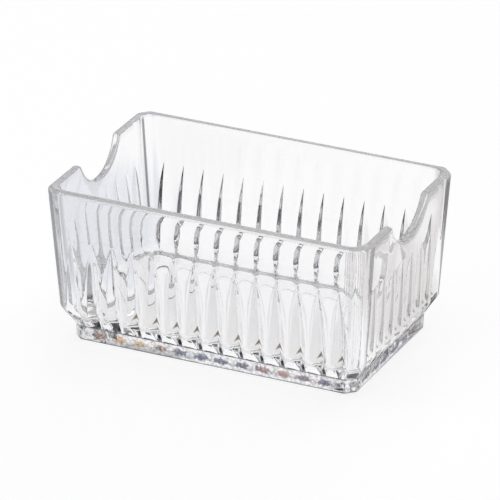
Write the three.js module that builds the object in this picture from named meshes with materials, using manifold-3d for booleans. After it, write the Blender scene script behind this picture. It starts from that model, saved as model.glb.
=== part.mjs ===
// Tea bag organizer: a clear, oblong, open-topped caddy, moulded in one piece.
// Its natural sections are separate solids that meet face to face: a stepped foot, a thick floor, four flared
// walls with tapering mitre grooves, and four cut corners. Both short walls have a round finger notch.
// Millimetres, +Z up, origin at the middle of the underside, +X along the length, -Y is the front.

import * as THREE from 'three';
import { mergeVertices } from 'three/addons/utils/BufferGeometryUtils.js';
import Module from 'manifold-3d';

// Overall size; the length and width are at the rim's shoulder, the widest place
const LENGTH = 120;
const WIDTH = 76;
const HEIGHT = 57.5;

// Walls and corners
const WALL = 3;
const DRAFT_DEGREES = 3.5;
const CORNER_CUT = 3.6;
const INNER_RADIUS = 5;
const RIM_EDGE = 0.7;

// Foot, bevel and floor, from the ground up
const FOOT_HEIGHT = 5.4;
const FOOT_CUT = 3.2;
const FOOT_RING = 7;
const FOOT_RECESS = 0.8;
const BEVEL_RISE = 6.4;
const BEVEL_INSET = 3.9;
const FLOOR_THICKNESS = 3.8;
const FLOOR_FILLET = 2.5;

// Finger notch in each short wall, a round scoop with eased shoulders
const NOTCH_DEPTH = 10.4;
const NOTCH_RADIUS = 15.4;
const NOTCH_SHOULDER = 2;

// Mitre grooves: each starts as a point below the rim, widens like a lancet towards the foot of its wall,
// and narrows again down the bevel to end on the foot
const GROOVE_PITCH = 7.7;
const GROOVE_DROP = 17.3;
const GROOVE_WIDTH = 5.4;
const GROOVE_DEPTH = 2;
const GROOVE_END_WIDTH = 1.6;
const GROOVE_END_DEPTH = 1.1;
const GROOVE_CLEARANCE = 0.4;
const GROOVE_LANCET = 2.4;

// Facets of the rounded stretches
const CORNER_STEPS = 5;
const FILLET_STEPS = 3;
const NOTCH_STEPS = 20;
const SHOULDER_STEPS = 4;
const GROOVE_STEPS = 4;

// How far a cutting tool runs past the face that it cuts
const OVERCUT = 2;

// Look of the moulding
const CLEAR_COLOUR = 0xeef3f4;
const CLEAR_ROUGHNESS = 0.04;
const CLEAR_OPACITY = 0.35;

// Levels and slopes that follow from the sizes above
const BEVEL_TOP = FOOT_HEIGHT + BEVEL_RISE;
const FLOOR_TOP = FOOT_HEIGHT + FLOOR_THICKNESS;
const SHOULDER = HEIGHT - RIM_EDGE;
const GROOVE_TIP = HEIGHT - GROOVE_DROP;
const WALL_SLOPE = Math.tan(THREE.MathUtils.degToRad(DRAFT_DEGREES));
const FOOT_HALF_LENGTH = LENGTH / 2 - drawnIn(BEVEL_TOP) - BEVEL_INSET;
const FOOT_HALF_WIDTH = WIDTH / 2 - drawnIn(BEVEL_TOP) - BEVEL_INSET;

// How far the flared walls have come in from the rim's shoulder at a height
function drawnIn(z) {
  return (SHOULDER - z) * WALL_SLOPE;
}

const wasm = await Module();
wasm.setup();

// Level rings, counter-clockwise from above

function cutCornerRing(halfLength, halfWidth, cut, z) {
  const points = [];
  for (const [sx, sy] of [[1, 1], [-1, 1], [-1, -1], [1, -1]]) {
    const onEnd = new THREE.Vector3(sx * halfLength, sy * (halfWidth - cut), z);
    const onSide = new THREE.Vector3(sx * (halfLength - cut), sy * halfWidth, z);
    points.push(...(sx * sy > 0 ? [onEnd, onSide] : [onSide, onEnd]));
  }
  return points;
}

function roundCornerRing(halfLength, halfWidth, radius, z) {
  const points = [];
  for (let corner = 0; corner < 4; corner++) {
    const sx = corner === 0 || corner === 3 ? 1 : -1;
    const sy = corner < 2 ? 1 : -1;
    for (let step = 0; step <= CORNER_STEPS; step++) {
      const angle = (corner + step / CORNER_STEPS) * Math.PI / 2;
      const x = sx * (halfLength - radius) + radius * Math.cos(angle);
      const y = sy * (halfWidth - radius) + radius * Math.sin(angle);
      points.push(new THREE.Vector3(x, y, z));
    }
  }
  return points;
}

// A closed skin over convex rings of equal point count, listed from the lowest up
function loft(rings) {
  const count = rings[0].length;
  const top = (rings.length - 1) * count;
  const index = [];
  for (let ring = 0; ring + 1 < rings.length; ring++) {
    for (let i = 0; i < count; i++) {
      const a = ring * count + i;
      const b = ring * count + (i + 1) % count;
      index.push(a, b, b + count, a, b + count, a + count);
    }
  }
  for (let i = 1; i + 1 < count; i++) {
    index.push(0, i + 1, i, top, top + i, top + i + 1);
  }
  const geometry = new THREE.BufferGeometry().setFromPoints(rings.flat());
  geometry.setIndex(index);
  return geometry;
}

// Solids for joining and cutting

function solid(geometry) {
  const bare = geometry.clone();
  bare.deleteAttribute('normal');
  bare.deleteAttribute('uv');
  const merged = mergeVertices(bare);
  const vertProperties = new Float32Array(merged.attributes.position.array);
  const triVerts = new Uint32Array(merged.index.array);
  return new wasm.Manifold(new wasm.Mesh({ numProp: 3, vertProperties, triVerts }));
}

function block(x0, x1, y0, y1, z0, z1) {
  const ring = (z) => [[x0, y0], [x1, y0], [x1, y1], [x0, y1]].map(([x, y]) => new THREE.Vector3(x, y, z));
  return solid(loft([ring(z0), ring(z1)]));
}

function joined(solids) {
  return solids.reduce((whole, piece) => whole.add(piece));
}

// Outer form from the foot's top to the rim: bevel, flared wall, eased rim edge
function outerForm() {
  const wallRing = (z) => cutCornerRing(LENGTH / 2 - drawnIn(z), WIDTH / 2 - drawnIn(z), CORNER_CUT, z);
  const rimCut = CORNER_CUT - (2 - Math.SQRT2) * RIM_EDGE;
  return solid(loft([
    cutCornerRing(FOOT_HALF_LENGTH, FOOT_HALF_WIDTH, FOOT_CUT, FOOT_HEIGHT),
    wallRing(BEVEL_TOP),
    wallRing(SHOULDER),
    cutCornerRing(LENGTH / 2 - RIM_EDGE, WIDTH / 2 - RIM_EDGE, rimCut, HEIGHT),
  ]));
}

// The hollow: fillets that meet the floor, walls parallel to the outside, and an eased edge that opens at the rim.
// It runs on below the floor's level, where only the walls are cut with it.
function hollow() {
  const ring = (z, out) => roundCornerRing(
    LENGTH / 2 - WALL - drawnIn(z) + out,
    WIDTH / 2 - WALL - drawnIn(z) + out,
    INNER_RADIUS + out,
    z,
  );
  const rings = [ring(FLOOR_TOP, -FLOOR_FILLET).map((p) => p.setZ(FLOOR_TOP - OVERCUT))];
  for (let step = 0; step <= FILLET_STEPS; step++) {
    const angle = step / FILLET_STEPS * Math.PI / 2;
    rings.push(ring(FLOOR_TOP + FLOOR_FILLET * (1 - Math.cos(angle)), -FLOOR_FILLET * (1 - Math.sin(angle))));
  }
  rings.push(ring(SHOULDER, 0));
  rings.push(ring(HEIGHT + OVERCUT, RIM_EDGE + OVERCUT));
  return solid(loft(rings));
}

// One tool that cuts the round notch, with its eased shoulders, through both short walls
function notchTool() {
  const centreHeight = HEIGHT - NOTCH_DEPTH + NOTCH_RADIUS;
  const shoulderHeight = HEIGHT - NOTCH_SHOULDER;
  const reach = NOTCH_RADIUS + NOTCH_SHOULDER;
  const rise = centreHeight - shoulderHeight;
  const shoulderOut = Math.sqrt(reach * reach - rise * rise);
  const meeting = Math.asin(rise / reach);
  const outline = [new THREE.Vector2(-shoulderOut, HEIGHT + OVERCUT)];
  for (let step = 0; step <= SHOULDER_STEPS; step++) {
    const angle = Math.PI / 2 + (meeting - Math.PI / 2) * step / SHOULDER_STEPS;
    outline.push(new THREE.Vector2(
      -shoulderOut + NOTCH_SHOULDER * Math.cos(angle),
      shoulderHeight + NOTCH_SHOULDER * Math.sin(angle),
    ));
  }
  for (let step = 1; step < NOTCH_STEPS; step++) {
    const angle = Math.PI + meeting + (Math.PI - 2 * meeting) * step / NOTCH_STEPS;
    outline.push(new THREE.Vector2(NOTCH_RADIUS * Math.cos(angle), centreHeight + NOTCH_RADIUS * Math.sin(angle)));
  }
  const mirrored = outline.slice(0, SHOULDER_STEPS + 2).reverse().map((p) => new THREE.Vector2(-p.x, p.y));
  const depth = LENGTH + 2 * OVERCUT;
  const shape = new THREE.Shape([...outline, ...mirrored]);
  const geometry = new THREE.ExtrudeGeometry(shape, { depth, bevelEnabled: false });
  geometry.translate(0, 0, -depth / 2);
  geometry.rotateX(Math.PI / 2).rotateZ(Math.PI / 2);
  return solid(geometry);
}

// Grooves stand half a pitch either side of a wall's middle, and outwards as far as the flat of the wall allows
function groovesPerHalf(halfSpan) {
  const flat = halfSpan - drawnIn(BEVEL_TOP) - CORNER_CUT;
  return Math.floor((flat - GROOVE_WIDTH / 2 - GROOVE_CLEARANCE) / GROOVE_PITCH + 0.5);
}

// A V-shaped tool that grows from a point at the tip to full depth at the bevel, then narrows to the foot.
// It is made for the front wall, with the wall's face at y = -faceOut, and turned to the others.
function grooveTool(along, faceOut, turn) {
  const wallSpread = GROOVE_WIDTH / 2 / GROOVE_DEPTH;
  const endSpread = GROOVE_END_WIDTH / 2 / GROOVE_END_DEPTH;
  const section = (z, inset, depth, spread) => {
    const face = faceOut - inset;
    const half = (depth + OVERCUT) * spread;
    return [
      new THREE.Vector3(along - half, -face - OVERCUT, z),
      new THREE.Vector3(along + half, -face - OVERCUT, z),
      new THREE.Vector3(along, depth - face, z),
    ];
  };
  const footInset = drawnIn(BEVEL_TOP) + BEVEL_INSET;
  const sections = [
    section(FOOT_HEIGHT - OVERCUT, footInset, GROOVE_END_DEPTH, endSpread),
    section(FOOT_HEIGHT, footInset, GROOVE_END_DEPTH, endSpread),
  ];
  const run = GROOVE_TIP - BEVEL_TOP;
  const levelOf = (growth) => BEVEL_TOP + run * (1 - growth) ** (1 / GROOVE_LANCET);
  for (let step = GROOVE_STEPS; step > 0; step--) {
    const growth = step / GROOVE_STEPS;
    const z = levelOf(growth);
    sections.push(section(z, drawnIn(z), growth * GROOVE_DEPTH, wallSpread));
  }
  const above = GROOVE_TIP + OVERCUT;
  const tipSlope = GROOVE_DEPTH / GROOVE_STEPS / (GROOVE_TIP - levelOf(1 / GROOVE_STEPS));
  sections.push(section(above, drawnIn(above), -OVERCUT * tipSlope, wallSpread));
  return solid(loft(sections).rotateZ(turn));
}

function grooveTools() {
  const walls = [
    { span: LENGTH / 2, face: WIDTH / 2, turn: 0 },
    { span: WIDTH / 2, face: LENGTH / 2, turn: Math.PI / 2 },
  ];
  const tools = [];
  for (const wall of walls) {
    const perHalf = groovesPerHalf(wall.span);
    for (let i = -perHalf; i < perHalf; i++) {
      const along = (i + 0.5) * GROOVE_PITCH;
      tools.push(grooveTool(along, wall.face, wall.turn), grooveTool(along, wall.face, wall.turn + Math.PI));
    }
  }
  return joined(tools);
}

// Foot: a plinth under the bevel, hollowed a little so that it stands on a ring
function footPlinth() {
  const plinth = solid(loft([
    cutCornerRing(FOOT_HALF_LENGTH, FOOT_HALF_WIDTH, FOOT_CUT, 0),
    cutCornerRing(FOOT_HALF_LENGTH, FOOT_HALF_WIDTH, FOOT_CUT, FOOT_HEIGHT),
  ]));
  const recessRing = (z) => cutCornerRing(FOOT_HALF_LENGTH - FOOT_RING, FOOT_HALF_WIDTH - FOOT_RING, FOOT_CUT, z);
  return plinth.subtract(solid(loft([recessRing(-OVERCUT), recessRing(FOOT_RECESS)])));
}

// The moulding above the foot, parted on level and upright planes that run through plain panels
function mouldingSections() {
  const grooved = outerForm().subtract(grooveTools());
  const shell = grooved.subtract(hollow()).subtract(notchTool());
  const splitX = (groovesPerHalf(LENGTH / 2) - 1) * GROOVE_PITCH;
  const splitY = (groovesPerHalf(WIDTH / 2) - 1) * GROOVE_PITCH;
  const far = LENGTH + WIDTH + HEIGHT;
  const above = (x0, x1, y0, y1) => shell.intersect(block(x0, x1, y0, y1, FLOOR_TOP, far));
  return {
    floor_slab: grooved.intersect(block(-far, far, -far, far, -far, FLOOR_TOP)),
    front_wall: above(-splitX, splitX, -far, 0),
    back_wall: above(-splitX, splitX, 0, far),
    left_end_wall: above(-far, 0, -splitY, splitY),
    right_end_wall: above(0, far, -splitY, splitY),
    front_left_corner: above(-far, -splitX, -far, -splitY),
    front_right_corner: above(splitX, far, -far, -splitY),
    back_left_corner: above(-far, -splitX, splitY, far),
    back_right_corner: above(splitX, far, splitY, far),
  };
}

function namedMesh(name, piece) {
  const { vertProperties, triVerts } = piece.getMesh();
  const geometry = new THREE.BufferGeometry();
  geometry.setAttribute('position', new THREE.BufferAttribute(vertProperties, 3));
  geometry.setIndex(new THREE.BufferAttribute(triVerts, 1));
  const material = new THREE.MeshStandardMaterial({
    color: CLEAR_COLOUR,
    roughness: CLEAR_ROUGHNESS,
    metalness: 0,
    transparent: true,
    opacity: CLEAR_OPACITY,
    flatShading: true,
  });
  const mesh = new THREE.Mesh(geometry, material);
  mesh.name = name;
  return mesh;
}

const organizer = new THREE.Group();
organizer.add(namedMesh('foot_plinth', footPlinth()));
for (const [name, piece] of Object.entries(mouldingSections())) {
  organizer.add(namedMesh(name, piece));
}

export default organizer;
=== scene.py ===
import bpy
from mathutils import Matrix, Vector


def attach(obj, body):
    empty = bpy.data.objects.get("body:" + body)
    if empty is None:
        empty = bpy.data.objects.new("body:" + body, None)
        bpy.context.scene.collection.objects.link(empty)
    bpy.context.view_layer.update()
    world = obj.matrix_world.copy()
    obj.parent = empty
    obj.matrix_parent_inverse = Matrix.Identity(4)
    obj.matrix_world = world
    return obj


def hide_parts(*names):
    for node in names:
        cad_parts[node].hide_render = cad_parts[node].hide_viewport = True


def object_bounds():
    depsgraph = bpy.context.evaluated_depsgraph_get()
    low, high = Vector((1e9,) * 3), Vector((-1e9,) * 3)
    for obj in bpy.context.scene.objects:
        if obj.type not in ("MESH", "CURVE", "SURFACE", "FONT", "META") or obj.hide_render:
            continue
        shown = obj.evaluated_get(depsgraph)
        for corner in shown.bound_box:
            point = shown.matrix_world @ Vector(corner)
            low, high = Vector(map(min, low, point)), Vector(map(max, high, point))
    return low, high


bl_info = {
    "name": "Clear Tea Bag Organizer",
    "version": (1, 0, 0),
    "blender": (4, 5, 0),
    "location": "3D View > Sidebar > Tea Bags",
    "description": "Builds a clear, grooved, open-topped tea bag organizer in sections, on a plain stage",
    "category": "Add Mesh",
}

import math

import bmesh
import bpy
from bpy.props import FloatProperty, FloatVectorProperty, PointerProperty
from mathutils import Vector

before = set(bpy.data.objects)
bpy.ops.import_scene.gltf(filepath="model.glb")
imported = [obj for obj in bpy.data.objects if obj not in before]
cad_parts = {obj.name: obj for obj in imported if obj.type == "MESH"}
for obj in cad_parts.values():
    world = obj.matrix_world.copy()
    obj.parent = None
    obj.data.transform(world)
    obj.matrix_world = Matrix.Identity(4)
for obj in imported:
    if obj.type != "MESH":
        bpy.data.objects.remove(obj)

CAD_BOX = [list(corner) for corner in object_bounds()]
CAD_SIZE = [high - low for low, high in zip(*CAD_BOX)]
MM = 0.001
QUARTER = math.pi / 2

# The walls, counter-clockwise from above: direction along the wall, outward direction
WALLS = (
    (Vector((1, 0, 0)), Vector((0, -1, 0))),
    (Vector((0, 1, 0)), Vector((1, 0, 0))),
    (Vector((-1, 0, 0)), Vector((0, 1, 0))),
    (Vector((0, -1, 0)), Vector((-1, 0, 0))),
)
# The long walls' places in that order; the others are the ends
LONG_WALLS = (0, 2)
# Each wall's section, and the section of the corner that follows it
WALL_SECTIONS = ("front_wall", "right_end_wall", "back_wall", "left_end_wall")
CORNER_SECTIONS = ("front_right_corner", "back_right_corner", "back_left_corner", "front_left_corner")
BASE_SECTIONS = ("foot_plinth", "floor_slab")
SECTIONS = BASE_SECTIONS + WALL_SECTIONS + CORNER_SECTIONS

# A groove's section: place in half-widths from the valley, share of its depth
GROOVE_HALF_PROFILE = (
    (0.05, 0.935), (0.12, 0.88), (0.4, 0.6), (0.68, 0.32), (0.92, 0.085), (0.99, 0.025), (1.06, 0.0),
)
GROOVE_PROFILE = (
    *((-place, share) for place, share in reversed(GROOVE_HALF_PROFILE)),
    (0.0, 0.955),
    *GROOVE_HALF_PROFILE,
)
GROOVE_SIDE = GROOVE_PROFILE[-1][0]
# Width, depth and crown where a wall is plain
NO_GROOVE = (0.0, 0.0, 0.0)
# How fast a groove widens below its tip
LANCET = 2.4
# Half-width of the bevel's own narrow V, as a share of its depth
HEEL_SPREAD = 0.7
# Least room at a wall's foot for the columns drawn together at its end
GATHER_ROOM = 1.5 * MM
# Places across a panel between grooves
PANEL_STEPS = (1 / 6, 1 / 3, 1 / 2, 2 / 3, 5 / 6)
# Columns from groove to groove, and the one in the middle of a panel
PITCH_COLUMNS = len(PANEL_STEPS) + len(GROOVE_PROFILE)
PANEL_MIDDLE = len(PANEL_STEPS) // 2
# A cut corner's two soft edges: turn and arc steps of each, columns of both
EDGE_TURN = QUARTER / 2
EDGE_STEPS = 4
CORNER_COLUMNS = 2 * (EDGE_STEPS + 1)
# Arc steps of the rim's roundings, the floor's fillet and the foot's edge
RIM_STEPS = 5
FILLET_STEPS = 6
FOOT_STEPS = 3
# How far in from the foot's standing ring the recess's rings lie
RECESS_STEPS = (2.0 * MM, 0.8 * MM)
# Rings of the bevel from the foot to the floor's top, as shares of the way
SLAB_SHARES = (0.0, 0.5)
# How far the bevel's upper edge is drawn in, as a share of its softening
BEVEL_EASE = 0.12
# Heights above the bevel of the rings round the ends of its narrow Vs
HEEL_RISES = (1.0 * MM, 1.5 * MM, 2.0 * MM, 2.6 * MM)
# Rings from the bevel to the grooves' tips, closer near the tips
GROOVE_SHARES = (0.15, 0.3, 0.45, 0.58, 0.7, 0.8, 0.88, 0.94, 0.975, 1.0)
# Rings from the grooves' tips to the rim, and from it down to the floor's fillet
UPPER_SHARES = (0.2, 0.4, 0.6, 0.8, 1.0)
INNER_SHARES = (0.2, 0.4, 0.6, 0.8)
# How far in from the fillet's foot the floor's rings lie
FLOOR_STEPS = (0.0, 0.7 * MM, 1.5 * MM)
# Points nearer than this are one
MERGE_DISTANCE = 0.002 * MM
# Edges that turn by more than this stay crisp
CRISP_ANGLE = math.radians(30)

BLACK = (0.0, 0.0, 0.0, 1.0)
GREY = (0.35, 0.35, 0.35, 1.0)
WHITE = (1.0, 1.0, 1.0, 1.0)
# A mix node's sockets for two colours, and for their mixture
MIX_COLOURS = (6, 7)
MIX_RESULT = 2
# Scale and detail of the noise in the polish, the ripple and the painted glints
WEAR_NOISE = (90.0, 4.0)
RIPPLE_NOISE = (140.0, 1.0)
GRAIN_NOISE = (900.0, 3.0)
# Noise from best to worst polish, and from none to all of the painted shade in the foot's sides
WEAR_RANGE = (0.35, 0.75)
SHADE_STREAK_RANGE = (0.6, 0.4)

# An end begins past the first distance, along the length; a cut corner also past the second, across
GLINT_END = (51.7 * MM, 29.5 * MM)
# Past these distances along the long walls and the ends there are no painted glints or ticks
GLINT_LIMIT = (47.5 * MM, 24.5 * MM)
# Height over which the foot's painted tints are laid out, and the soft end of the painted shade in its
# sides
GLINT_REACH = 20.0 * MM
STRIP_SOFT = 0.2 * MM
# Painted glints of split light in the foot: half-width, half-height and middle as a share of its height
CELL_HALF = 2.9 * MM
CELL_RISE = 1.3 * MM
CELL_MIDDLE = 0.54
# How much grain breaks up a painted glint, the glint's soft edge, and how far grain shifts its colour
CELL_GRAIN = 2.8
CELL_EDGE = (2.6, 1.8)
HUE_SHIFT = 0.6
GRAIN_MIDDLE = 0.5
# Colours of the painted glints, by share of the way along
GLINT_HUES = (
    (0.0, "slate"), (0.16, "rose"), (0.2, "amber"), (0.28, "amber"), (0.33, "indigo"),
    (0.5, "slate"), (0.62, "indigo"), (0.7, "rose"), (0.8, "slate"), (0.9, "indigo"),
)
# Heights, in foot heights, where the foot's painted dark edges show
EDGE_STOPS = (
    (0.0, WHITE), (0.09, WHITE), (0.13, BLACK), (0.95, BLACK), (0.97, WHITE), (1.02, WHITE), (1.05, BLACK),
)
# Painted dark ticks on the bevel: heights in foot heights, half-width outside and inside the soft edge
TICK_STOPS = ((0.0, BLACK), (1.0, BLACK), (1.06, WHITE), (1.45, WHITE), (1.6, BLACK))
TICK_HALF = (0.75 * MM, 0.5 * MM)
# Painted amber arrowheads: lift above the bevel, height, half-width, notch below as a share of the height
ARROW_LIFT = 0.9 * MM
ARROW_HEIGHT = 3.4 * MM
ARROW_HALF = 1.8 * MM
ARROW_NOTCH = 0.3
# An arrowhead's soft upper and lower edges, and its colours from the upper one in
ARROW_UPPER = (0.0, 0.2)
ARROW_LOWER = (-0.1, 0.1)
ARROW_HUES = ((0.0, "amber"), (0.06, "amber"), (0.22, "umber"))
# Share of the way along where the arrowheads begin
ARROW_START = (0.2, 0.25)
# Slants of view where the painted shade on a cut corner starts and where it is full
SLANT_RANGE = (0.54, 0.68)
# Painted dark line on an inner corner, for the cut edge seen through the wall: distance from the diagonal
# at the rim, lean, and half-width outside and inside the soft edge
SHADE_LINE_TOP = 2.5 * MM
SHADE_LINE_LEAN = 0.046
SHADE_LINE_HALF = (1.0 * MM, 0.4 * MM)

# Light runs far along the clear walls before it leaves them
LIGHT_BOUNCES = 48
# Half the floor's side, and the hair of air that is under any foot
FLOOR_HALF = 3.0
FLOOR_GAP = 0.05 * MM
FLOOR_ROUGHNESS = 0.9
# Spots of painted light and shade on the floor: middle, radius of the full tint, outer radius
WARM_SPOT = ((0.11, 0.08, 0.0), 0.07, 0.1)
COOL_SPOT = ((-0.13, 0.04, 0.0), 0.055, 0.085)
DIM_SPOT = ((-0.25, -0.13, 0.0), 0.17, 0.21)
# How much of the painted dim spot shows, by the light's bounces
THROWN_STOPS = (
    (0.0, BLACK), (2.4, BLACK), (2.6, GREY), (3.4, GREY), (3.6, BLACK), (4.4, BLACK), (4.6, WHITE),
)
# Bounces over which the floor's glow is painted darker, and the share of it that is left
DIMMING_BOUNCES = (4.0, 7.0)
DIMMING_LEFT = 0.5
# Colours of the room from the horizon up: in most directions, behind, at the sides
ROOM_AROUND = (
    (0.0, "room"), (0.23, "room"), (0.27, "ring_light"), (0.4, "ring_light"),
    (0.46, "room"), (0.7, "room"), (0.85, "ceiling"),
)
ROOM_BEHIND = ((0.0, "room"), (0.15, "room"), (0.2, "ring_light"), (0.7, "ring_light"), (0.8, "ceiling"))
ROOM_ASIDE = ((0.0, "room"), (0.7, "room"), (0.85, "ceiling"))
# Sectors of the room: direction, nearness at the edge, softness of the edge
BEHIND_SECTOR = ((0.0, 1.0, 0.0), 0.84, 0.1)
ASIDE_SECTORS = (((-0.906, 0.423, 0.0), 0.8, 0.1), ((1.0, 0.0, 0.0), 0.7, 0.1))
# Soft lights: name, place, target, width, height, power
SOFTBOXES = (
    ("top_softbox", (0.0, 0.1, 0.9), (0.0, 0.0, 0.0), 0.8, 0.8, 0.8),
    ("left_softbox", (-0.9, -0.3, 0.55), (0.0, 0.0, 0.03), 0.5, 0.7, 0.6),
)
# The camera's sensor in millimetres, and how far it sees
SENSOR_WIDTH = 36.0
CLIP_END = 20.0


def number_prop(name, description, value, **options):
    return FloatProperty(name=name, description=description, default=value, **options)


def length_prop(name, description, millimetres):
    return number_prop(name, description, millimetres * MM, min=0.0, precision=4, unit="LENGTH")


def angle_prop(name, description, degrees):
    return number_prop(name, description, math.radians(degrees), subtype="ANGLE")


def share_prop(name, description, share):
    return number_prop(name, description, share, min=0.0, max=1.0, subtype="FACTOR")


def colour_prop(name, description, *rgb):
    return FloatVectorProperty(
        name=name, description=description, default=(*rgb, 1.0), size=4, min=0.0, max=1.0, subtype="COLOR",
    )


class MouldingSizes(bpy.types.PropertyGroup):
    """Sizes of the clear moulding."""

    length: length_prop("Length", "Outside length at the rim", CAD_SIZE[0] / MM)
    width: length_prop("Width", "Outside width at the rim", CAD_SIZE[1] / MM)
    height: length_prop("Height", "Height of the rim", CAD_SIZE[2] / MM)
    draft: angle_prop("Draft", "Lean of the flared walls", 3.5)
    wall: length_prop("Wall", "Thickness of the walls", 3.0)
    corner_cut: length_prop("Corner cut", "How far each upright corner is cut back", 3.6)
    edge_round: length_prop("Edge round", "Radius of the cut corners' upright edges", 1.6)
    inner_radius: length_prop("Inner radius", "Radius of the upright inner corners", 5.0)
    rim_outer: length_prop("Outer rim round", "Radius of the rim's outer edge", 1.3)
    rim_inner: length_prop("Inner rim round", "Radius of the rim's inner edge", 0.7)
    foot_height: length_prop("Foot height", "Height of the stepped foot", 5.4)
    foot_cut: length_prop("Foot cut", "How far the foot's corners are cut back", 3.2)
    foot_draft: angle_prop("Foot draft", "Lean of the foot's sides", 2.0)
    foot_edge: length_prop("Foot edge", "Radius of the foot's lower edge", 0.4)
    foot_ring: length_prop("Foot ring", "Width of the foot's standing ring", 7.0)
    foot_recess: length_prop("Foot recess", "Depth of the hollow under the foot", 0.8)
    bevel_rise: length_prop("Bevel rise", "Height of the bevel between the foot and the walls", 6.4)
    bevel_inset: length_prop("Bevel inset", "How far the foot stands in from the walls above", 3.9)
    bevel_round: length_prop("Bevel round", "Softening of the bevel's upper edge each way", 0.5)
    floor_thickness: length_prop("Floor thickness", "Thickness of the floor above the foot", 3.8)
    floor_fillet: length_prop("Floor fillet", "Radius between the floor and the walls inside", 2.5)
    notch_depth: length_prop("Notch depth", "Depth of the finger notch below the rim", 10.4)
    notch_radius: length_prop("Notch radius", "Radius of the finger notch", 15.4)
    notch_shoulder: length_prop("Notch shoulder", "Radius of the notch's upper corners", 2.0)
    groove_pitch: length_prop("Groove pitch", "Distance between grooves", 7.7)
    groove_drop: length_prop("Groove drop", "Distance from the rim down to the grooves' tips", 17.3)
    groove_width: length_prop("Groove width", "Width of a groove at the foot of its wall", 5.4)
    groove_depth: length_prop("Groove depth", "Depth of a groove at the foot of its wall", 2.0)
    groove_end_width: length_prop("Groove end width", "Width of a groove at its lower end", 1.6)
    groove_end_depth: length_prop("Groove end depth", "Depth of a groove at its lower end", 1.1)
    heel_depth: length_prop("Heel depth", "Depth of the bevel's narrow V at its upper edge", 2.4)
    heel_end_depth: length_prop("Heel end depth", "Depth of the bevel's narrow V at the foot", 1.4)
    groove_clearance: length_prop("Groove clearance", "Least flat beside the outermost groove", 0.4)
    panel_crown: share_prop("Panel crown", "Slope of a panel's bulge beside its grooves", 0.2)


class ClearFinish(bpy.types.PropertyGroup):
    """Finish of the clear moulding, with the colours of its painted glints and shade."""

    tint: colour_prop("Tint", "Colour that the clear material passes", 0.991, 0.989, 0.994)
    refraction: number_prop(
        "Refractive index", "How strongly the material bends light", 1.5, min=1.0, max=2.0,
    )
    polish_best: share_prop("Best polish", "Roughness where it is best polished", 0.0)
    polish_worst: share_prop("Worst polish", "Roughness where it is handled most", 0.03)
    # Colour of the painted shade in the foot's sides
    foot_shade: colour_prop("Foot tint", "Colour that the foot's sides pass", 0.36, 0.36, 0.4)
    # Colour of the painted shade along the foot's edges
    edge_shade: colour_prop("Edge tint", "Colour that the foot's edges pass", 0.07, 0.07, 0.075)
    # Colour of the painted shade on the cut corners and in the inner corners
    corner_shade: colour_prop("Corner tint", "Colour of a cut corner at a slant", 0.11, 0.107, 0.11)
    # Colour of the painted shade in the bevel's ticks
    tick_shade: colour_prop("Ink", "Near black at the feet of the grooves", 0.004, 0.004, 0.005)
    # Colours of the painted glints, and of the arrowheads' painted glint and shade
    amber: colour_prop("Amber", "Warm colour of the split light", 0.62, 0.34, 0.1)
    indigo: colour_prop("Indigo", "Cold colour of the split light", 0.03, 0.03, 0.065)
    slate: colour_prop("Slate", "Pale cold colour of the split light", 0.06, 0.075, 0.125)
    umber: colour_prop("Umber", "Dark warm colour of the split light", 0.06, 0.045, 0.03)
    rose: colour_prop("Rose", "Red colour of the split light", 0.4, 0.15, 0.11)
    ripple: share_prop("Ripple", "Strength of the faint surface ripple", 0.06)
    ripple_height: length_prop("Ripple height", "Height of the faint surface ripple", 0.4)


class StageLook(bpy.types.PropertyGroup):
    """Floor, lights and camera."""

    floor_colour: colour_prop("Floor", "Colour of the pale floor", 0.4, 0.4, 0.4)
    floor_glow: number_prop("Floor glow", "Light that the pale floor gives off by itself", 0.8, min=0.0)
    # Floor colours of painted warm and cool light, seen only through the clear walls
    floor_warm: colour_prop("Warm floor", "Floor as the right end shows it", 0.73, 0.705, 0.695)
    floor_cool: colour_prop("Cool floor", "Floor as the left end shows it", 0.75, 0.775, 0.83)
    # Colour of the painted shade at the front left of the floor
    floor_dim: colour_prop("Dim floor", "Floor that the grooves throw back", 0.04, 0.04, 0.043)
    room: colour_prop("Room", "Colour of the dim room around the stage", 0.015, 0.015, 0.017)
    ring_light: colour_prop("Ring light", "Colour of the low ring of soft light", 0.96, 0.97, 1.0)
    ceiling: colour_prop("Ceiling", "Colour of the soft ceiling", 0.55, 0.55, 0.56)
    backdrop: colour_prop("Backdrop", "Colour that is seen behind the floor", 0.96, 0.96, 0.96)
    azimuth: angle_prop("Azimuth", "Camera's turn around the object", 25.24)
    elevation: angle_prop("Elevation", "Camera's height angle", 25.04)
    distance: length_prop("Distance", "Camera's distance from its target", 2005.6)
    target_height: length_prop("Target height", "Height that the camera looks at", 30.67)
    lens: number_prop("Lens", "Focal length in millimetres", 421.3, unit="CAMERA")


def mix(a, b, share):
    return a + (b - a) * share


def wall_point(wall, place, reach, z):
    """A point by its place along a wall, distance from the middle and height."""
    along, out = WALLS[wall]
    return along * place + out * reach + Vector((0, 0, z))


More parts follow.
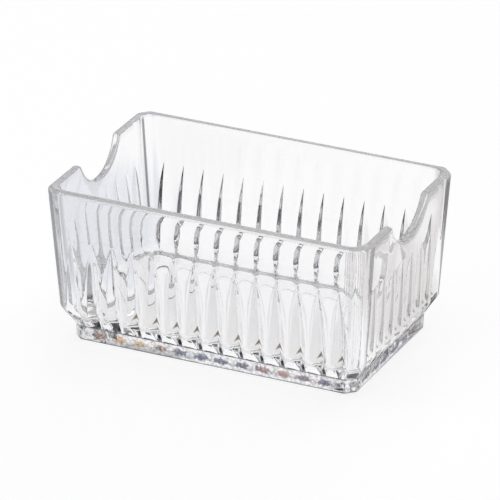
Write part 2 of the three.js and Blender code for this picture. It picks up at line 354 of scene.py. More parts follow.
class Form:
    """The moulding as rings of points with the same columns, from under the foot to the floor inside."""

    def __init__(self, sizes):
        self.s = sizes
        self.slope = math.tan(sizes.draft)
        self.bevel_top = sizes.foot_height + sizes.bevel_rise
        self.floor_top = sizes.foot_height + sizes.floor_thickness
        self.groove_tip = sizes.height - sizes.groove_drop
        self.foot_inset = self.drawn_in(self.bevel_top) + sizes.bevel_inset
        self.edge_run = sizes.edge_round * math.tan(EDGE_TURN / 2)
        self.per_half = [self.grooves_per_half(wall) for wall in range(len(WALLS))]
        self.rim = [self.rim_line(wall) for wall in range(len(WALLS))]
        self.inner_plan = self.plan_inside()

    def drawn_in(self, z):
        """How far the flared walls have come in from the rim at a height."""
        return (self.s.height - z) * self.slope

    def spans(self, wall, inset):
        """Half a wall's length and its distance from the middle, for an outline drawn in by inset."""
        half_length = self.s.length / 2 - inset
        half_width = self.s.width / 2 - inset
        return (half_length, half_width) if wall in LONG_WALLS else (half_width, half_length)

    def flat_end(self, wall, inset, cut):
        """How far a wall's flat reaches from its middle, to where the cut corner's soft edge begins."""
        return self.spans(wall, inset)[0] - cut - self.edge_run

    def grooves_per_half(self, wall):
        """How many grooves fit on half a wall, the first half a pitch from the middle."""
        flat = self.spans(wall, self.drawn_in(self.bevel_top))[0] - self.s.corner_cut
        room = flat - self.s.groove_width / 2 - self.s.groove_clearance
        return math.floor(room / self.s.groove_pitch + 0.5)

    def growth(self, z):
        """How far a groove has grown at a height, from 0 to 1."""
        share = max(0.0, (self.groove_tip - z) / (self.groove_tip - self.bevel_top))
        return 1 - max(0.0, 1 - share) ** LANCET

    def wall_line(self, wall, flat_end, width, depth, crown, heel=0.0):
        """Places along a wall, from its left end to its right end, and how far each is sunk."""
        half = width / 2
        count = 2 * self.per_half[wall]
        grooves = [(i + 0.5 - self.per_half[wall]) * self.s.groove_pitch for i in range(count)]
        line = []
        for index in range(count + 1):
            left = grooves[index - 1] + GROOVE_SIDE * half if index else -flat_end
            right = grooves[index] - GROOVE_SIDE * half if index < count else flat_end
            for step in PANEL_STEPS:
                line.append((mix(left, right, step), -crown * (right - left) * step * (1 - step)))
            if index < count:
                for place, share in GROOVE_PROFILE:
                    narrow = heel - abs(place * half) / HEEL_SPREAD
                    line.append((grooves[index] + place * half, max(share * depth, narrow)))
        return line

    def gathered_line(self, wall, flat_end, *groove):
        """The line at the foot of a wall, with its outermost panels drawn together to end earlier."""
        wall_end = self.flat_end(wall, self.drawn_in(self.bevel_top), self.s.corner_cut)
        keep = min((self.per_half[wall] - 1) * self.s.groove_pitch, flat_end - GATHER_ROOM)
        gather = (flat_end - keep) / (wall_end - keep)
        line = []
        for place, sink in self.wall_line(wall, wall_end, *groove):
            over = max(0.0, abs(place) - keep)
            line.append((math.copysign(min(abs(place), keep) + over * gather, place), sink))
        return line

    def corner_points(self, wall, inset, cut, z):
        """The cut corner after a wall: a soft edge, the flat and another soft edge."""
        half, reach = self.spans(wall, inset)
        radius = self.s.edge_round
        arcs = (
            (half - cut - self.edge_run, reach - radius, 0.0),
            (half - radius, reach - cut - self.edge_run, EDGE_TURN),
        )
        points = []
        for centre_place, centre_reach, start in arcs:
            for step in range(EDGE_STEPS + 1):
                angle = start + EDGE_TURN * step / EDGE_STEPS
                place = centre_place + radius * math.sin(angle)
                points.append(wall_point(wall, place, centre_reach + radius * math.cos(angle), z))
        return points

    def outer_ring(self, inset, cut, z, line_maker, *groove):
        """A level ring of the outside."""
        ring = []
        for wall in range(len(WALLS)):
            reach = self.spans(wall, inset)[1]
            for place, sink in line_maker(wall, self.flat_end(wall, inset, cut), *groove):
                ring.append(wall_point(wall, place, reach - sink, z))
            ring.extend(self.corner_points(wall, inset, cut, z))
        return ring

    def foot_ring(self, inset, z):
        """A ring of the foot, drawn in from its sides by inset."""
        s = self.s
        inset += self.foot_inset + (s.foot_height - z) * math.tan(s.foot_draft)
        return self.outer_ring(inset, s.foot_cut, z, self.gathered_line, s.groove_end_width, 0.0, 0.0)

    def bevel_ring(self, z, ease=0.0):
        """A ring of the bevel, whose grooves narrow towards the foot."""
        s = self.s
        share = (z - s.foot_height) / s.bevel_rise
        inset = mix(self.foot_inset, self.drawn_in(self.bevel_top), share) + ease
        cut = mix(s.foot_cut, s.corner_cut, share)
        width = mix(s.groove_end_width, s.groove_width, share)
        depth = mix(s.groove_end_depth, s.groove_depth, share)
        heel = mix(s.heel_end_depth, s.heel_depth, share)
        crown = s.panel_crown * share
        return self.outer_ring(inset, cut, z, self.gathered_line, width, depth, crown, heel)

    def wall_ring(self, z):
        """A ring of the walls up to the grooves' tips, with the upper ends of the bevel's narrow Vs."""
        s = self.s
        growth = self.growth(z)
        groove = (s.groove_width * growth, s.groove_depth * growth, s.panel_crown * growth)
        share = (z - s.foot_height) / s.bevel_rise
        heel = mix(s.heel_end_depth, s.heel_depth, share) - (share - 1) * s.bevel_inset
        return self.outer_ring(self.drawn_in(z), s.corner_cut, z, self.wall_line, *groove, max(0.0, heel))

    def rim_line(self, wall):
        """The rim over a wall, by column: place, height, and the edge's normal in the wall's plane."""
        s = self.s
        end = self.flat_end(wall, 0.0, s.corner_cut)
        line = self.wall_line(wall, end, *NO_GROOVE)
        if wall in LONG_WALLS:
            return [(place, s.height, 0.0, 1.0) for place, _ in line]
        radius = s.notch_radius
        rounding = s.notch_shoulder
        centre = s.height - s.notch_depth + radius
        reach = radius + rounding
        rise = centre - s.height + rounding
        shoulder_out = math.sqrt(reach * reach - rise * rise)
        meeting = math.asin(rise / reach)
        straight = end - shoulder_out
        shoulder = rounding * (QUARTER - meeting)
        half_run = straight + shoulder + radius * (QUARTER - meeting)
        points = []
        for index in range(len(line)):
            run = (index + 1) / (len(line) + 1) * 2 * half_run
            side = -1.0 if run < half_run else 1.0
            run = min(run, 2 * half_run - run)
            if run < straight:
                points.append((side * (end - run), s.height, 0.0, 1.0))
                continue
            if run < straight + shoulder:
                angle = QUARTER - (run - straight) / rounding
                place = shoulder_out - rounding * math.cos(angle)
                z = s.height - rounding + rounding * math.sin(angle)
            else:
                angle = meeting + (run - straight - shoulder) / radius
                place = radius * math.cos(angle)
                z = centre - radius * math.sin(angle)
            points.append((side * place, z, -side * math.cos(angle), math.sin(angle)))
        return points

    def upper_ring(self, share):
        """A ring of the outside between the groove tips and the rim, bent down round the notches."""
        s = self.s
        low = self.groove_tip
        ring = []
        for wall in range(len(WALLS)):
            low_end = self.flat_end(wall, self.drawn_in(low), s.corner_cut)
            low_line = self.wall_line(wall, low_end, *NO_GROOVE)
            for (place, _), (rim_place, rim_z, lean, up) in zip(low_line, self.rim[wall]):
                place = mix(place, rim_place - lean * s.rim_outer, share)
                z = mix(low, rim_z - up * s.rim_outer, share)
                ring.append(wall_point(wall, place, self.spans(wall, self.drawn_in(z))[1], z))
            z = mix(low, s.height - s.rim_outer, share)
            ring.extend(self.corner_points(wall, self.drawn_in(z), s.corner_cut, z))
        return ring

    def rim_ring(self, angle):
        """A ring of the rim's outer rounding; the angle runs from level to straight up."""
        s = self.s
        drop = s.rim_outer * (1 - math.sin(angle))
        ease = s.rim_outer * (1 - math.cos(angle))
        # The flat of a cut corner comes in by as much as the walls do
        cut = s.corner_cut - (2 - math.sqrt(2)) * ease
        ring = []
        for wall in range(len(WALLS)):
            for place, rim_z, lean, up in self.rim[wall]:
                z = rim_z - up * drop
                reach = self.spans(wall, self.drawn_in(z) + ease)[1]
                ring.append(wall_point(wall, place - lean * drop, reach, z))
            z = s.height - drop
            ring.extend(self.corner_points(wall, self.drawn_in(z) + ease, cut, z))
        return ring

    def plan_inside(self):
        """Each column's wall and rim entry where the inside is straight, or its corner and angle."""
        columns = []
        for wall in range(len(WALLS)):
            straight_end = self.spans(wall, self.s.wall)[0] - self.s.inner_radius
            for entry in self.rim[wall]:
                columns.append((wall, entry) if abs(entry[0]) <= straight_end else None)
            columns.extend([None] * CORNER_COLUMNS)
        first = next(i for i, column in enumerate(columns) if column)
        wall = 0
        run = []
        for offset in range(len(columns) + 1):
            index = (first + offset) % len(columns)
            if columns[index] is None:
                run.append(index)
                continue
            for order, bend in enumerate(run):
                columns[bend] = (wall, (order + 0.5) / len(run) * QUARTER)
            run = []
            wall = columns[index][0]
        return columns

    def inner_ring(self, drop, out, level=None, share=0.0):
        """A ring of the inside, drop below the rim's edge and out towards the outside of the inner face.

        With a level, the ring is the given share of the way from the rim down to it.
        """
        s = self.s
        ring = []
        for wall, entry in self.inner_plan:
            if isinstance(entry, float):
                z = s.height - drop
                z = z if level is None else mix(z, level, share)
                half, reach = self.spans(wall, self.drawn_in(z) + s.wall)
                radius = s.inner_radius + out
                place = half - s.inner_radius + radius * math.sin(entry)
                reach = reach - s.inner_radius + radius * math.cos(entry)
            else:
                place, rim_z, lean, up = entry
                z = rim_z - up * drop
                place -= lean * drop
                if level is not None:
                    z = mix(z, level, share)
                    full = self.spans(wall, s.wall)[0] - s.inner_radius
                    lower = self.spans(wall, self.drawn_in(level) + s.wall)[0] - s.inner_radius
                    place = mix(place, entry[0] * lower / full, share)
                reach = self.spans(wall, self.drawn_in(z) + s.wall)[1] + out
            ring.append(wall_point(wall, place, reach, z))
        return ring

    def foot_rings(self):
        """The foot from its recess, over its standing ring and up its sides."""
        s = self.s
        rings = [self.foot_ring(s.foot_ring + step, s.foot_recess) for step in RECESS_STEPS]
        rings.append(self.foot_ring(s.foot_ring, 0.0))
        for step in range(FOOT_STEPS + 1):
            angle = QUARTER * step / FOOT_STEPS
            inset = s.foot_edge * (1 - math.sin(angle))
            rings.append(self.foot_ring(inset, s.foot_edge * (1 - math.cos(angle))))
        rings.append(self.foot_ring(0.0, s.foot_height))
        return rings

    def shell_rings(self):
        """The walls and corners from the floor's height, over the rim and down inside."""
        s = self.s
        rings = [
            self.bevel_ring(self.floor_top),
            self.bevel_ring(self.bevel_top - s.bevel_round),
            self.bevel_ring(self.bevel_top, s.bevel_round * BEVEL_EASE),
        ]
        for rise in (s.bevel_round, *HEEL_RISES):
            rings.append(self.wall_ring(self.bevel_top + rise))
        for share in GROOVE_SHARES:
            rings.append(self.wall_ring(mix(self.bevel_top, self.groove_tip, share)))
        for share in UPPER_SHARES:
            rings.append(self.upper_ring(share))
        for step in range(1, RIM_STEPS + 1):
            rings.append(self.rim_ring(QUARTER * step / RIM_STEPS))
        for step in range(RIM_STEPS + 1):
            angle = QUARTER * (1 - step / RIM_STEPS)
            drop = s.rim_inner * (1 - math.sin(angle))
            rings.append(self.inner_ring(drop, s.rim_inner * (1 - math.cos(angle))))
        for share in INNER_SHARES:
            rings.append(self.inner_ring(s.rim_inner, 0.0, self.floor_top + s.floor_fillet, share))
        for step in range(FILLET_STEPS):
            angle = QUARTER * step / FILLET_STEPS
            level = self.floor_top + s.floor_fillet * (1 - math.sin(angle))
            out = -s.floor_fillet * (1 - math.cos(angle))
            rings.append(self.inner_ring(s.rim_inner, out, level, 1.0))
        return rings

    def rings(self):
        """All rings, each with what lies between it and the next: a base section or the shell."""
        s = self.s
        slab = [self.bevel_ring(mix(s.foot_height, self.floor_top, share)) for share in SLAB_SHARES]
        outs = [-s.floor_fillet - step for step in FLOOR_STEPS]
        inside = [self.inner_ring(s.rim_inner, out, self.floor_top, 1.0) for out in outs]
        return [
            *((ring, "foot_plinth") for ring in self.foot_rings()),
            *((ring, "floor_slab") for ring in slab),
            *((ring, "shell") for ring in self.shell_rings()),
            *((ring, "floor_slab") for ring in inside),
        ]

    def column_sections(self):
        """The wall or corner section of the faces after each column."""
        names = []
        for wall in range(len(WALLS)):
            last = PITCH_COLUMNS * 2 * self.per_half[wall] + len(PANEL_STEPS)
            left = PITCH_COLUMNS + PANEL_MIDDLE
            right = last - len(PANEL_STEPS) - PITCH_COLUMNS + PANEL_MIDDLE
            names.extend([CORNER_SECTIONS[wall - 1]] * left)
            names.extend([WALL_SECTIONS[wall]] * (right - left))
            names.extend([CORNER_SECTIONS[wall]] * (last - right + CORNER_COLUMNS))
        return names


def whole_skin(sizes):
    """One closed skin of the moulding, as a mesh whose faces know their section."""
    form = Form(sizes)
    rings = form.rings()
    columns = form.column_sections()
    count = len(columns)
    work = bmesh.new()
    section = work.faces.layers.int.new("section")
    rows = [[work.verts.new(point) for point in ring] for ring, _ in rings]
    for (_, name), lower, upper in zip(rings, rows, rows[1:]):
        for i in range(count):
            j = (i + 1) % count
            face = work.faces.new((lower[i], lower[j], upper[j], upper[i]))
            face[section] = SECTIONS.index(columns[i] if name == "shell" else name)
    work.faces.new(reversed(rows[0]))[section] = SECTIONS.index("foot_plinth")
    work.faces.new(rows[-1])[section] = SECTIONS.index("floor_slab")
    bmesh.ops.remove_doubles(work, verts=work.verts, dist=MERGE_DISTANCE)
    mesh = bpy.data.meshes.new("whole_skin")
    work.to_mesh(mesh)
    work.free()
    mesh.polygons.foreach_set("use_smooth", [True] * len(mesh.polygons))
    mesh.set_sharp_from_angle(angle=CRISP_ANGLE)
    return mesh


def add_sections(context, names):
    """Cut sections out of the whole skin, with its normals, so that light meets no face between them."""
    sizes = context.scene.caddy_sizes
    whole = whole_skin(sizes)
    finish = clear_finish(sizes, context.scene.caddy_finish)
    tags = whole.attributes["section"].data
    normals = whole.corner_normals
    for name in names:
        number = SECTIONS.index(name)
        faces = [face for face in whole.polygons if tags[face.index].value == number]
        used = {}
        corners = [[used.setdefault(v, len(used)) for v in face.vertices] for face in faces]
        mesh = bpy.data.meshes.new(name + "_skin")
        mesh.from_pydata([whole.vertices[v].co for v in used], [], corners)
        mesh.polygons.foreach_set("use_smooth", [True] * len(faces))
        loops = [loop for face in faces for loop in face.loop_indices]
        mesh.normals_split_custom_set([normals[loop].vector for loop in loops])
        mesh.materials.append(finish)
        piece = bpy.data.objects.new("clear_" + name, mesh)
        context.scene.collection.objects.link(piece)
        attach(piece, "root")
        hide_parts(name)
    bpy.data.meshes.remove(whole)


def feed(tree, socket, value):
    """Link a socket to another, or give it a plain value."""
    if isinstance(value, bpy.types.NodeSocket):
        tree.links.new(value, socket)
    else:
        socket.default_value = value


def operate(tree, operation, *values):
    """A math node; each value is a socket or a plain number."""
    node = tree.nodes.new("ShaderNodeMath")
    node.operation = operation
    for socket, value in zip(node.inputs, values):
        feed(tree, socket, value)
    return node.outputs["Value"]


def scaled(tree, value, factor):
    return operate(tree, "MULTIPLY", value, factor)


def vector_math(tree, operation, *values):
    """A vector math node; each value is a socket or a plain vector."""
    node = tree.nodes.new("ShaderNodeVectorMath")
    node.operation = operation
    for socket, value in zip(node.inputs, values):
        feed(tree, socket, value)
    return node


def ranged(tree, value, start, stop, first, last):
    """A value that goes from first to last as another goes from start to stop."""
    node = tree.nodes.new("ShaderNodeMapRange")
    for socket, filling in zip(node.inputs, (value, start, stop, first, last)):
        feed(tree, socket, filling)
    return node.outputs["Result"]


def fade(tree, value, start, stop):
    """A mask that goes softly from 0 to 1 as a value goes from start to stop."""
    mask = ranged(tree, value, start, stop, 0.0, 1.0)
    mask.node.interpolation_type = "SMOOTHSTEP"
    return mask


def blend(tree, factor, below, above):
    """One colour over another; each is a socket or a plain colour."""
    node = tree.nodes.new("ShaderNodeMix")
    node.data_type = "RGBA"
    tree.links.new(factor, node.inputs["Factor"])
    for index, colour in zip(MIX_COLOURS, (below, above)):
        feed(tree, node.inputs[index], colour)
    return node.outputs[MIX_RESULT]


def bands(tree, value, stops):
    """Colours by a value from 0 to 1, blended between the stops."""
    ramp = tree.nodes.new("ShaderNodeValToRGB")
    tree.links.new(value, ramp.inputs["Fac"])
    cells = ramp.color_ramp.elements
    while len(cells) < len(stops):
        cells.new(1.0)
    for cell, (place, colour) in zip(cells, stops):
        cell.position = place
        cell.color = colour
    return ramp.outputs["Color"]


def coloured(look, stops):
    """Stops with the colours that their names stand for in a look."""
    return [(place, getattr(look, name)) for place, name in stops]


def noise(tree, place, scale, detail):
    """Values of a noise texture."""
    node = tree.nodes.new("ShaderNodeTexNoise")
    node.inputs["Scale"].default_value = scale
    node.inputs["Detail"].default_value = detail
    tree.links.new(place, node.inputs["Vector"])
    return node.outputs["Fac"]


def clear_finish(sizes, look):
    """Clear moulding with a faint ripple, polish that varies a little, and painted glints and shade."""
    material = bpy.data.materials.get("polished_clear")
    if material:
        return material
    material = bpy.data.materials.new("polished_clear")
    material.use_nodes = True
    tree = material.node_tree
    shader = tree.nodes["Principled BSDF"]
    shader.inputs["IOR"].default_value = look.refraction
    shader.inputs["Transmission Weight"].default_value = 1.0
    place = tree.nodes.new("ShaderNodeTexCoord").outputs["Object"]
    tree.links.new(PaintedRefraction(tree, place, sizes, look).colour(), shader.inputs["Base Color"])
    wear = noise(tree, place, *WEAR_NOISE)
    polish = ranged(tree, wear, *WEAR_RANGE, look.polish_best, look.polish_worst)
    tree.links.new(polish, shader.inputs["Roughness"])
    bump = tree.nodes.new("ShaderNodeBump")
    bump.inputs["Strength"].default_value = look.ripple
    bump.inputs["Distance"].default_value = look.ripple_height
    tree.links.new(noise(tree, place, *RIPPLE_NOISE), bump.inputs["Height"])
    tree.links.new(bump.outputs["Normal"], shader.inputs["Normal"])
    return material


class PaintedRefraction:
    """Painted glints and shade that stand in for split light at the grooves and corners, each a mask and a
    tint.
    """

    def __init__(self, tree, place, sizes, look):
        self.tree = tree
        self.s = sizes
        self.look = look
        self.bevel_top = sizes.foot_height + sizes.bevel_rise
        self.grain = noise(tree, place, *GRAIN_NOISE)
        split = tree.nodes.new("ShaderNodeSeparateXYZ")
        tree.links.new(place, split.inputs["Vector"])
        self.z = split.outputs["Z"]
        self.far_along = operate(tree, "ABSOLUTE", split.outputs["X"])
        self.far_across = operate(tree, "ABSOLUTE", split.outputs["Y"])
        # On the ends the grooves are counted along the width, and the cut corners have none
        end = operate(tree, "GREATER_THAN", self.far_along, GLINT_END[0])
        beside = operate(tree, "GREATER_THAN", self.far_across, GLINT_END[1])
        self.corner = operate(tree, "MULTIPLY", end, beside)
        turn = tree.nodes.new("ShaderNodeMix")
        tree.links.new(end, turn.inputs["Factor"])
        tree.links.new(split.outputs["X"], turn.inputs["A"])
        tree.links.new(split.outputs["Y"], turn.inputs["B"])
        along = turn.outputs["Result"]
        self.run = scaled(tree, operate(tree, "ADD", along, sizes.length / 2), 1 / sizes.length)
        half_pitch = sizes.groove_pitch / 2
        off_panel = operate(tree, "PINGPONG", along, half_pitch)
        self.off_groove = operate(tree, "SUBTRACT", half_pitch, off_panel)
        # The outermost grooves lean in at their feet, so they have no painted glint or tick below
        shorter = scaled(tree, end, GLINT_LIMIT[0] - GLINT_LIMIT[1])
        limit = operate(tree, "SUBTRACT", GLINT_LIMIT[0], shorter)
        self.counted = operate(tree, "LESS_THAN", operate(tree, "ABSOLUTE", along), limit)

    def calc(self, operation, *values):
        return operate(self.tree, operation, *values)

    def both(self, first, second):
        return self.calc("MULTIPLY", first, second)

    def up_foot(self, stops):
        """Colours by height, from stops in foot heights."""
        foot = self.s.foot_height / GLINT_REACH
        low = scaled(self.tree, self.z, 1 / GLINT_REACH)
        return bands(self.tree, low, [(height * foot, colour) for height, colour in stops])

    def foot_shade_streaks(self):
        """Streaks of painted shade in the foot's sides."""
        top = (self.s.foot_height + STRIP_SOFT) / self.s.foot_height
        strip = self.up_foot(((0.0, WHITE), (1.0, WHITE), (top, BLACK)))
        shade_streaks = self.both(strip, fade(self.tree, self.grain, *SHADE_STREAK_RANGE))
        return shade_streaks, self.look.foot_shade

    def foot_glints(self):
        """Painted coloured glints of split light in the foot's sides, one under each groove."""
        tree = self.tree
        over = self.calc("POWER", scaled(tree, self.off_groove, 1 / CELL_HALF), 2.0)
        height = self.calc("SUBTRACT", self.z, CELL_MIDDLE * self.s.foot_height)
        up = self.calc("POWER", scaled(tree, self.calc("ABSOLUTE", height), 1 / CELL_RISE), 2.0)
        spread = self.calc("ADD", self.calc("ADD", over, up), scaled(tree, self.grain, CELL_GRAIN))
        cell = self.both(fade(tree, spread, *CELL_EDGE), self.counted)
        shift = scaled(tree, self.calc("SUBTRACT", self.grain, GRAIN_MIDDLE), HUE_SHIFT)
        hues = bands(tree, self.calc("ADD", self.run, shift), coloured(self.look, GLINT_HUES))
        return cell, hues

    def foot_edges(self):
        """Painted dark edges of shade along the foot's bottom and top."""
        return self.up_foot(EDGE_STOPS), self.look.edge_shade

    def bevel_ticks(self):
        """Painted dark ticks of shade down the bevel's lower half, one in each groove."""
        tick = self.both(fade(self.tree, self.off_groove, *TICK_HALF), self.up_foot(TICK_STOPS))
        return self.both(tick, self.counted), self.look.tick_shade

    def arrowheads(self):
        """Arrowheads of painted amber glint and umber shade just above the bevel, one in each groove."""
        tree = self.tree
        rise = scaled(tree, self.calc("SUBTRACT", self.z, self.bevel_top + ARROW_LIFT), 1 / ARROW_HEIGHT)
        inside = self.calc("SUBTRACT", 1.0, scaled(tree, self.off_groove, 1 / ARROW_HALF))
        upper = self.calc("SUBTRACT", inside, rise)
        lower = self.calc("SUBTRACT", rise, scaled(tree, inside, ARROW_NOTCH))
        arrow = self.both(fade(tree, upper, *ARROW_UPPER), fade(tree, lower, *ARROW_LOWER))
        grooved = self.calc("SUBTRACT", 1.0, self.corner)
        shown = self.both(grooved, fade(tree, self.run, *ARROW_START))
        hues = bands(tree, upper, coloured(self.look, ARROW_HUES))
        return self.both(arrow, shown), hues

    def on_walls(self, mask):
        """A mask kept to the walls, between the bevel and the rim."""
        s = self.s
        above = fade(self.tree, self.z, self.bevel_top, self.bevel_top + s.bevel_round)
        below = fade(self.tree, self.z, s.height, s.height - s.rim_outer)
        return self.both(mask, self.both(above, below))

    def slanted_corners(self):
        """Painted shade on the cut corners' walls, where they are seen at a slant."""
        weight = self.tree.nodes.new("ShaderNodeLayerWeight")
        facing = fade(self.tree, weight.outputs["Facing"], *SLANT_RANGE)
        return self.on_walls(self.both(self.corner, facing)), self.look.corner_shade

    def corner_shade_lines(self):
        """A thin dark line of painted shade inside each corner, standing in for the cut corner's edge seen
        through the wall.
        """
        tree, s = self.tree, self.s
        below_rim = self.calc("SUBTRACT", s.height, self.z)
        flare = scaled(tree, below_rim, 2 * math.tan(s.draft))
        reach = self.calc("ADD", self.calc("ADD", self.far_along, self.far_across), flare)
        inner = self.calc("LESS_THAN", reach, (s.length + s.width) / 2 - 2 * s.wall)
        lean = scaled(tree, below_rim, SHADE_LINE_LEAN)
        shade_line = self.calc("SUBTRACT", (s.length - s.width) / 2 + SHADE_LINE_TOP, lean)
        off_shade_line = self.calc("SUBTRACT", self.calc("SUBTRACT", self.far_along, self.far_across), shade_line)
        line = fade(tree, self.calc("ABSOLUTE", off_shade_line), *SHADE_LINE_HALF)
        return self.on_walls(self.both(line, inner)), self.look.corner_shade

    def colour(self):
        """The clear tint with all painted marks of light and shade."""
        colour = self.look.tint
        for mark in (
            self.foot_shade_streaks, self.foot_glints, self.foot_edges, self.bevel_ticks,
            self.arrowheads, self.slanted_corners, self.corner_shade_lines,
        ):
            mask, tint = mark()
            colour = blend(self.tree, mask, colour, tint)
        # The painted marks belong to the face that is looked at, not to light on its way through the walls
        path = self.tree.nodes.new("ShaderNodeLightPath")
        return blend(self.tree, path.outputs["Is Camera Ray"], self.look.tint, colour)


def spot(tree, place, centre, inner, outer):
    """A soft round mask on the floor."""
    distance = vector_math(tree, "DISTANCE", place, centre)
    return fade(tree, distance.outputs["Value"], outer, inner)


def sector(tree, heading, direction, edge, soft):
    """A mask that is 1 where a level heading lies near a direction."""
    nearness = vector_math(tree, "DOT_PRODUCT", heading, direction)
    return fade(tree, nearness.outputs["Value"], edge, edge + soft)


def floor_finish(look):
    """A pale floor with a glow of its own, with painted light and shade only where the clear walls show
    it.
    """
    material = bpy.data.materials.new("pale_floor")
    material.use_nodes = True
    tree = material.node_tree
    shader = tree.nodes["Principled BSDF"]
    shader.inputs["Roughness"].default_value = FLOOR_ROUGHNESS
    shader.inputs["Emission Strength"].default_value = look.floor_glow
    place = tree.nodes.new("ShaderNodeTexCoord").outputs["Object"]
    path = tree.nodes.new("ShaderNodeLightPath")
    depth = path.outputs["Ray Depth"]
    # Painted warm light on the right and cool light on the left, in the floor as the clear walls show it
    colour = blend(tree, spot(tree, place, *WARM_SPOT), WHITE, look.floor_warm)
    colour = blend(tree, spot(tree, place, *COOL_SPOT), colour, look.floor_cool)
    # Painted shade at the front left of the floor, seen only by light that was thrown back inside the
    # walls
    stops = [(bounces / LIGHT_BOUNCES, share) for bounces, share in THROWN_STOPS]
    thrown = bands(tree, scaled(tree, depth, 1 / LIGHT_BOUNCES), stops)
    dim = operate(tree, "MULTIPLY", thrown, spot(tree, place, *DIM_SPOT))
    colour = blend(tree, dim, colour, look.floor_dim)
    tree.links.new(blend(tree, dim, look.floor_colour, look.floor_dim), shader.inputs["Base Color"])
    # Painted shade: the floor's glow is darker for light that has run far through the clear walls
    weaker = vector_math(tree, "SCALE", colour)
    tree.links.new(ranged(tree, depth, *DIMMING_BOUNCES, 1.0, DIMMING_LEFT), weaker.inputs["Scale"])
    colour = blend(tree, path.outputs["Is Camera Ray"], weaker.outputs["Vector"], WHITE)
    tree.links.new(colour, shader.inputs["Emission Color"])
    return material


def add_floor(scene, look):
    """The plain floor that the object stands on."""
    mesh = bpy.data.meshes.new("pale_floor")
    sides = ((-1, -1), (1, -1), (1, 1), (-1, 1))
    mesh.from_pydata([(x * FLOOR_HALF, y * FLOOR_HALF, -FLOOR_GAP) for x, y in sides], [], [(0, 1, 2, 3)])
    mesh.materials.append(floor_finish(look))
    floor = bpy.data.objects.new("pale_floor", mesh)
    scene.collection.objects.link(floor)


def add_room(scene, look):
    """A dim room with a low ring of soft light, broken at both sides, and a tall one behind."""
    world = bpy.data.worlds.new("room")
    world.use_nodes = True
    tree = world.node_tree
    place = tree.nodes.new("ShaderNodeTexCoord").outputs["Generated"]
    split = tree.nodes.new("ShaderNodeSeparateXYZ")
    tree.links.new(place, split.inputs["Vector"])
    height = split.outputs["Z"]
    level = vector_math(tree, "MULTIPLY", place, (1.0, 1.0, 0.0))
    heading = vector_math(tree, "NORMALIZE", level.outputs["Vector"]).outputs["Vector"]
    around = bands(tree, height, coloured(look, ROOM_AROUND))
    behind = bands(tree, height, coloured(look, ROOM_BEHIND))
    aside = bands(tree, height, coloured(look, ROOM_ASIDE))
    colour = blend(tree, sector(tree, heading, *BEHIND_SECTOR), around, behind)
    for side in ASIDE_SECTORS:
        colour = blend(tree, sector(tree, heading, *side), colour, aside)
    path = tree.nodes.new("ShaderNodeLightPath")
    colour = blend(tree, path.outputs["Is Camera Ray"], colour, look.backdrop)
    tree.links.new(colour, tree.nodes["Background"].inputs["Color"])
    scene.world = world


def add_light(scene, name, place, target, width, height, power):
    """A soft light that faces its target."""
    data = bpy.data.lights.new(name, "AREA")
    data.shape = "RECTANGLE"
    data.size = width
    data.size_y = height
    data.energy = power
    light = bpy.data.objects.new(name, data)
    light.location = place
    light.rotation_euler = (Vector(target) - Vector(place)).to_track_quat("-Z", "Y").to_euler()
    scene.collection.objects.link(light)


def add_camera(scene, look):
    """A long lens that looks down at the object from the front right."""
    data = bpy.data.cameras.new("camera")
    data.lens = look.lens
    data.sensor_width = SENSOR_WIDTH
    data.clip_end = CLIP_END
    camera = bpy.data.objects.new("camera", data)
    turn, rise = look.azimuth, look.elevation
    level = math.cos(rise)
    back = Vector((math.sin(turn) * level, -math.cos(turn) * level, math.sin(rise)))
    camera.location = Vector((0, 0, look.target_height)) + back * look.distance
    camera.rotation_euler = back.to_track_quat("Z", "Y").to_euler()
    scene.collection.objects.link(camera)
    scene.camera = camera


class CADDY_OT_base(bpy.types.Operator):
    """Add the stepped foot and the thick floor"""

    bl_idname = "caddy.base"
    bl_label = "Foot and Floor"

    def execute(self, context):
        add_sections(context, BASE_SECTIONS)
        return {"FINISHED"}


class CADDY_OT_walls(bpy.types.Operator):
    """Add the four flared, grooved walls, with a notch in each short one"""

    bl_idname = "caddy.walls"
    bl_label = "Walls"

    def execute(self, context):
        add_sections(context, WALL_SECTIONS)
        return {"FINISHED"}


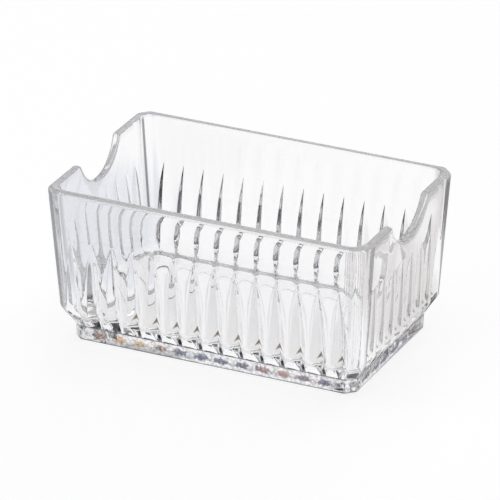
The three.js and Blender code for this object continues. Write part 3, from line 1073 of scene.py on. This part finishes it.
class CADDY_OT_corners(bpy.types.Operator):
    """Add the four cut corners"""

    bl_idname = "caddy.corners"
    bl_label = "Corners"

    def execute(self, context):
        add_sections(context, CORNER_SECTIONS)
        return {"FINISHED"}


class CADDY_OT_stage(bpy.types.Operator):
    """Add the pale floor, the soft lights and the camera"""

    bl_idname = "caddy.stage"
    bl_label = "Stage"

    def execute(self, context):
        scene = context.scene
        look = scene.caddy_stage
        add_floor(scene, look)
        add_room(scene, look)
        for softbox in SOFTBOXES:
            add_light(scene, *softbox)
        add_camera(scene, look)
        scene.view_settings.view_transform = "Standard"
        scene.cycles.max_bounces = LIGHT_BOUNCES
        scene.cycles.transmission_bounces = LIGHT_BOUNCES
        scene.cycles.glossy_bounces = LIGHT_BOUNCES
        return {"FINISHED"}


class CADDY_PT_panel(bpy.types.Panel):
    """Lists the steps that build the organizer"""

    bl_idname = "CADDY_PT_panel"
    bl_label = "Tea Bag Organizer"
    bl_space_type = "VIEW_3D"
    bl_region_type = "UI"
    bl_category = "Tea Bags"

    def draw(self, context):
        layout = self.layout
        for operator in OPERATORS:
            layout.operator(operator.bl_idname)
        for group in (context.scene.caddy_sizes, context.scene.caddy_finish, context.scene.caddy_stage):
            box = layout.box()
            for name in group.__annotations__:
                box.prop(group, name)


OPERATORS = (CADDY_OT_base, CADDY_OT_walls, CADDY_OT_corners, CADDY_OT_stage)
CLASSES = (MouldingSizes, ClearFinish, StageLook, *OPERATORS, CADDY_PT_panel)


def register():
    for cls in CLASSES:
        bpy.utils.register_class(cls)
    bpy.types.Scene.caddy_sizes = PointerProperty(type=MouldingSizes)
    bpy.types.Scene.caddy_finish = PointerProperty(type=ClearFinish)
    bpy.types.Scene.caddy_stage = PointerProperty(type=StageLook)


def unregister():
    del bpy.types.Scene.caddy_stage
    del bpy.types.Scene.caddy_finish
    del bpy.types.Scene.caddy_sizes
    for cls in reversed(CLASSES):
        bpy.utils.unregister_class(cls)


def main():
    register()
    bpy.ops.caddy.base()
    bpy.ops.caddy.walls()
    bpy.ops.caddy.corners()
    bpy.ops.caddy.stage()


if __name__ == "__main__":
    main()
